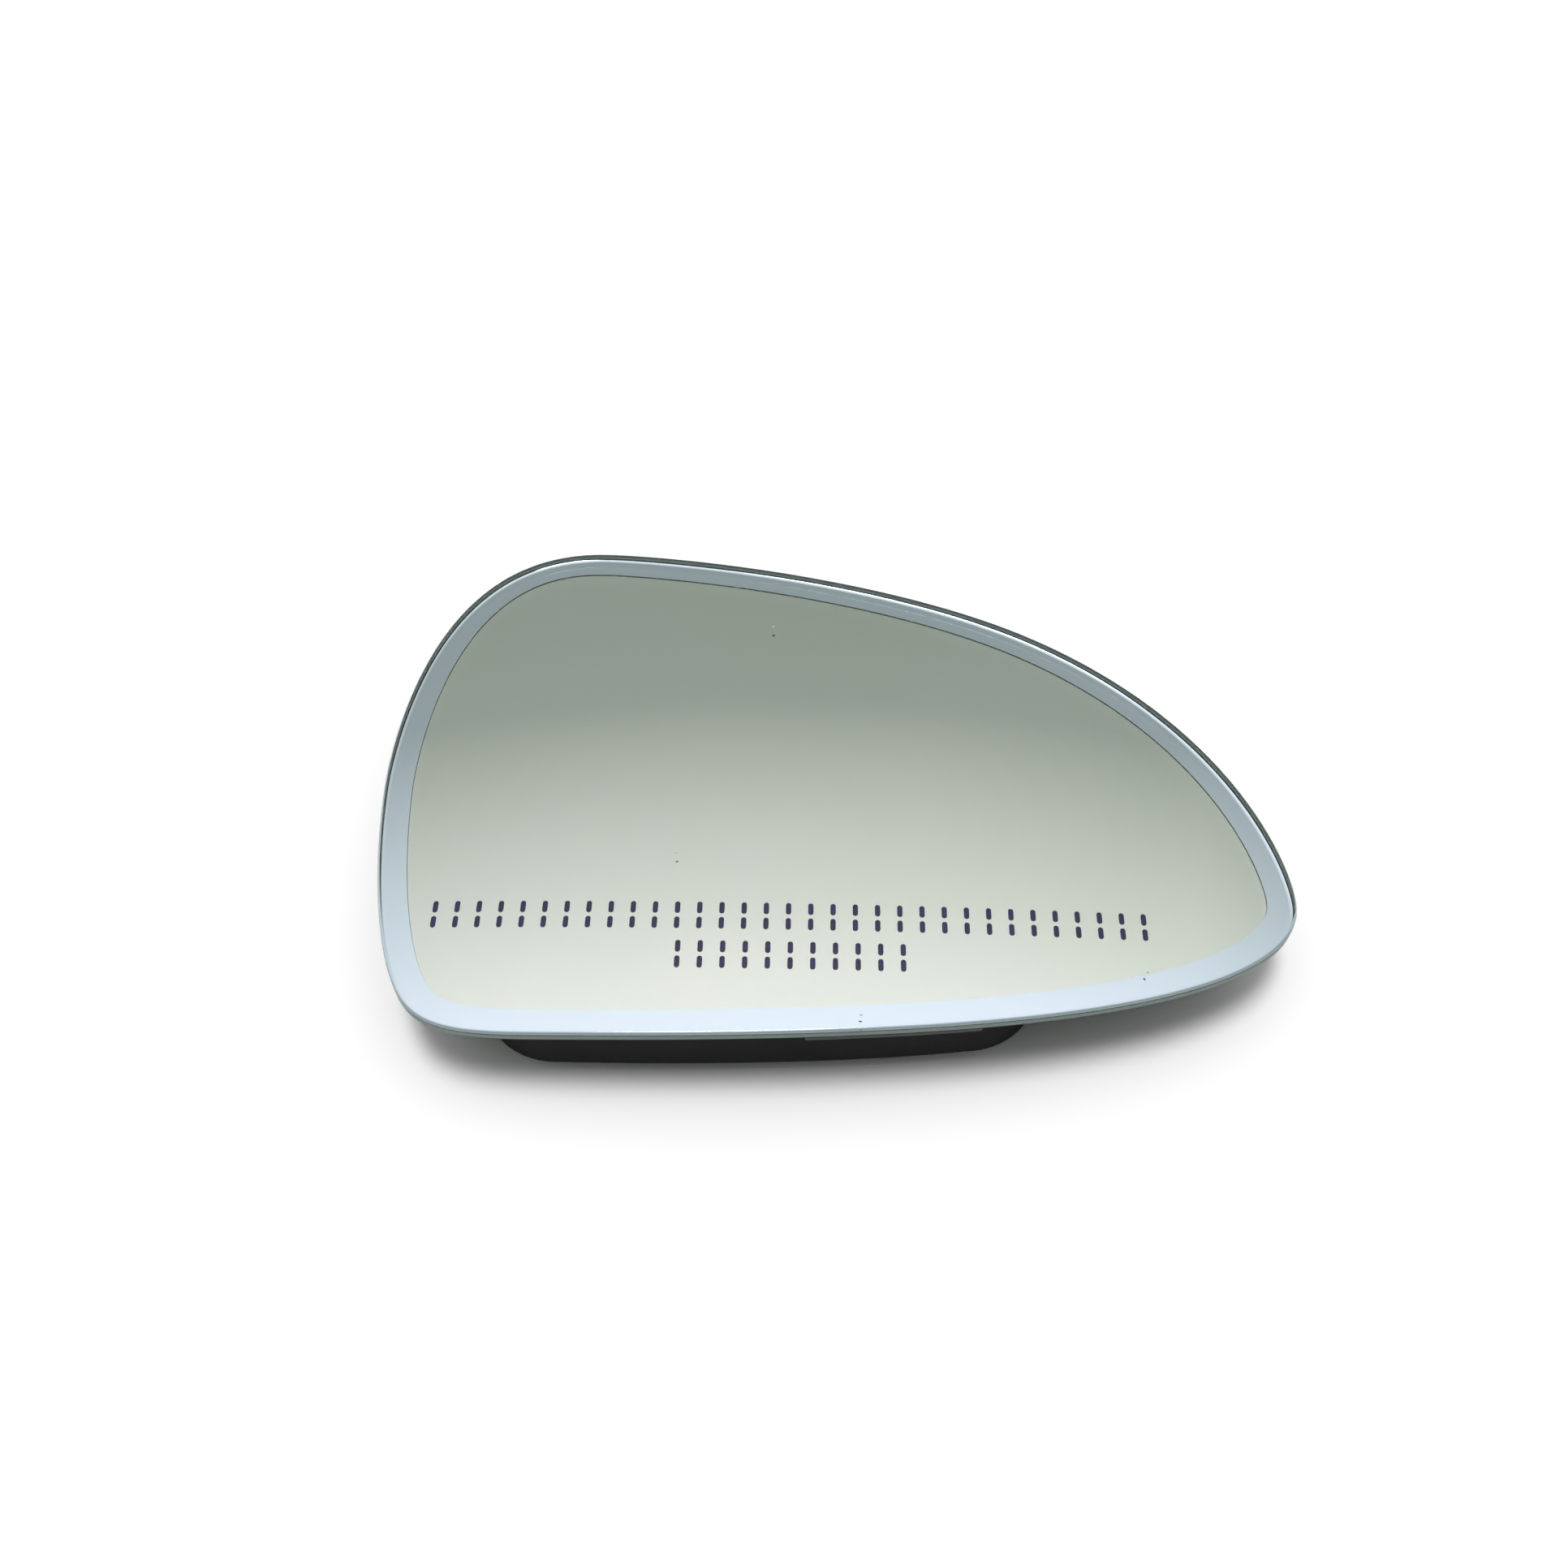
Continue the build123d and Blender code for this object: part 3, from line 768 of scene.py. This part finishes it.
def white_sheet():
    """Matt white laminate: nearly even, with the faintest cloud."""
    finish, tree, place = start_finish("white_laminate")
    cloud = add_node(tree, "ShaderNodeTexNoise", {"Vector": place, "Scale": per_mm(120), "Detail": 2})
    tone = add_node(tree, "ShaderNodeMix", {"Factor": cloud.outputs["Fac"], "A": linear("#F7F7F6"),
                                            "B": linear("#F9F9F9")}, data_type="RGBA")
    sheet = add_node(tree, "ShaderNodeBsdfPrincipled", {
        "Base Color": tone.outputs["Result"], "Roughness": 0.7, "Specular IOR Level": 0.2})
    add_node(tree, "ShaderNodeOutputMaterial", {"Surface": sheet.outputs["BSDF"]})
    return finish


side = np.array([-floor_reach, floor_reach])
floor_x, floor_y = np.meshgrid(side, side)
floor_points = np.stack([floor_x.ravel(), floor_y.ravel(), np.full(4, floor_level)], axis=1)
floor_mesh = smooth_mesh("floor", floor_points, [(0, 1, 3, 2)])
floor_mesh.materials.append(white_sheet())
floor = bpy.data.objects.new("floor", floor_mesh)
scene.collection.objects.link(floor)
print("floor at", round(floor_level / MM, 2), "mm")

# %% [markdown]
# ## Light
# A mirror looks like what it reflects, so the light is a smooth dome: grey low down, brighter with height
# and towards the sides, and darker where the viewer stands. An oval lamp near the zenith gives the soft
# shadow under the glass. Lamp objects would do, but the dome has no edges to show in the mirror from the
# camera's side.

# %% Light dome
dome_levels = [
    # height of the direction, from 0 level to 1 upright, then red, green and blue
    (0.0, 0.52, 0.55, 0.53),
    (0.70, 0.475, 0.50, 0.48),
    (0.766, 0.52, 0.54, 0.525),
    (0.82, 0.80, 0.80, 0.80),
    (0.875, 1.11, 1.09, 1.11),
    (0.914, 1.38, 1.33, 1.38),
    (0.96, 1.55, 1.50, 1.55),
    (1.0, 1.6, 1.55, 1.6),
]
dome_peak = 2.0
viewer_height = np.radians(48)
viewer_reach = np.radians(50)
viewer_core = np.radians(20)
viewer_shade = 0.1
side_lift = 0.3
side_reach = 0.12
lamp_middle = (-0.04, 0.0, 0.0)
lamp_reach = (0.16, 0.235)
lamp_peak = 30.0
world = bpy.data.worlds.new("light_dome")
scene.world = world
world.use_nodes = True
sky = world.node_tree
sky.nodes.clear()
direction = add_node(sky, "ShaderNodeTexCoord").outputs["Generated"]
shares = add_node(sky, "ShaderNodeSeparateXYZ", {"Vector": direction})
across = shares.outputs["X"]
sideways = add_node(sky, "ShaderNodeMath", {0: across, 1: across}, operation="MULTIPLY")
capped = add_node(sky, "ShaderNodeMath", {
    0: sideways.outputs["Value"], 1: side_reach}, operation="MINIMUM")
height = add_node(sky, "ShaderNodeMath", {
    0: capped.outputs["Value"], 1: side_lift, 2: shares.outputs["Z"]}, operation="MULTIPLY_ADD")
ramp = add_node(sky, "ShaderNodeValToRGB", {"Fac": height.outputs["Value"]})
stops = ramp.color_ramp.elements
for row in dome_levels[1:-1]:
    stops.new(row[0])
for stop, row in zip(stops, dome_levels):
    stop.position = row[0]
    stop.color = (*[level / dome_peak for level in row[1:]], 1)
viewer_axis = (0.0, -np.cos(viewer_height), np.sin(viewer_height))
near = add_node(sky, "ShaderNodeVectorMath", {0: direction, 1: viewer_axis}, operation="DOT_PRODUCT")
shade = add_node(sky, "ShaderNodeMapRange", {
    "Value": near.outputs["Value"], "From Min": np.cos(viewer_reach), "From Max": np.cos(viewer_core),
    "To Min": dome_peak, "To Max": viewer_shade * dome_peak}, interpolation_type="SMOOTHSTEP")
walls = add_node(sky, "ShaderNodeVectorMath", {
    "Vector": ramp.outputs["Color"], "Scale": shade.outputs["Result"]}, operation="SCALE")
offset = add_node(sky, "ShaderNodeVectorMath", {0: direction, 1: lamp_middle}, operation="SUBTRACT")
spread = add_node(sky, "ShaderNodeVectorMath", {
    0: offset.outputs["Vector"], 1: (1 / lamp_reach[0], 1 / lamp_reach[1], 0)}, operation="MULTIPLY")
reach = add_node(sky, "ShaderNodeVectorMath", {
    0: spread.outputs["Vector"], 1: spread.outputs["Vector"]}, operation="DOT_PRODUCT")
lamp = add_node(sky, "ShaderNodeMapRange", {
    "Value": reach.outputs["Value"], "From Min": 1.0, "From Max": 0.0, "To Min": 0.0, "To Max": lamp_peak},
    interpolation_type="SMOOTHSTEP")
is_above = add_node(sky, "ShaderNodeMath", {0: shares.outputs["Z"], 1: 0.0}, operation="GREATER_THAN")
above = add_node(sky, "ShaderNodeMath", {
    0: lamp.outputs["Result"], 1: is_above.outputs["Value"]}, operation="MULTIPLY")
light = add_node(sky, "ShaderNodeVectorMath", {
    0: walls.outputs["Vector"], 1: above.outputs["Value"]}, operation="ADD")
glow = add_node(sky, "ShaderNodeBackground", {"Color": light.outputs["Vector"], "Strength": 1.0})
add_node(sky, "ShaderNodeOutputWorld", {"Surface": glow.outputs["Background"]})
scene.view_settings.view_transform = "Standard"
print("light dome with", len(stops), "levels and a soft oval lamp")

# %% [markdown]
# ## Camera
# The camera stands in front of the glass, about 55 degrees above it and 29 cm away.

# %% Camera
camera_aim = np.array([-0.6, 0.1, front_face]) * MM
camera_offset = np.array([3.5, -165.5, 236.5]) * MM
lens = 36.02
sensor = 36.0
eye_data = bpy.data.cameras.new("eye")
eye_data.lens = lens
eye_data.sensor_width = sensor
eye_data.clip_start = 0.01
eye = bpy.data.objects.new("eye", eye_data)
scene.collection.objects.link(eye)
eye.location = camera_aim + camera_offset
toward = Vector((-camera_offset).tolist())
eye.rotation_euler = toward.to_track_quat("-Z", "Y").to_euler()
scene.camera = eye
print("camera at", [round(value, 4) for value in eye.location])
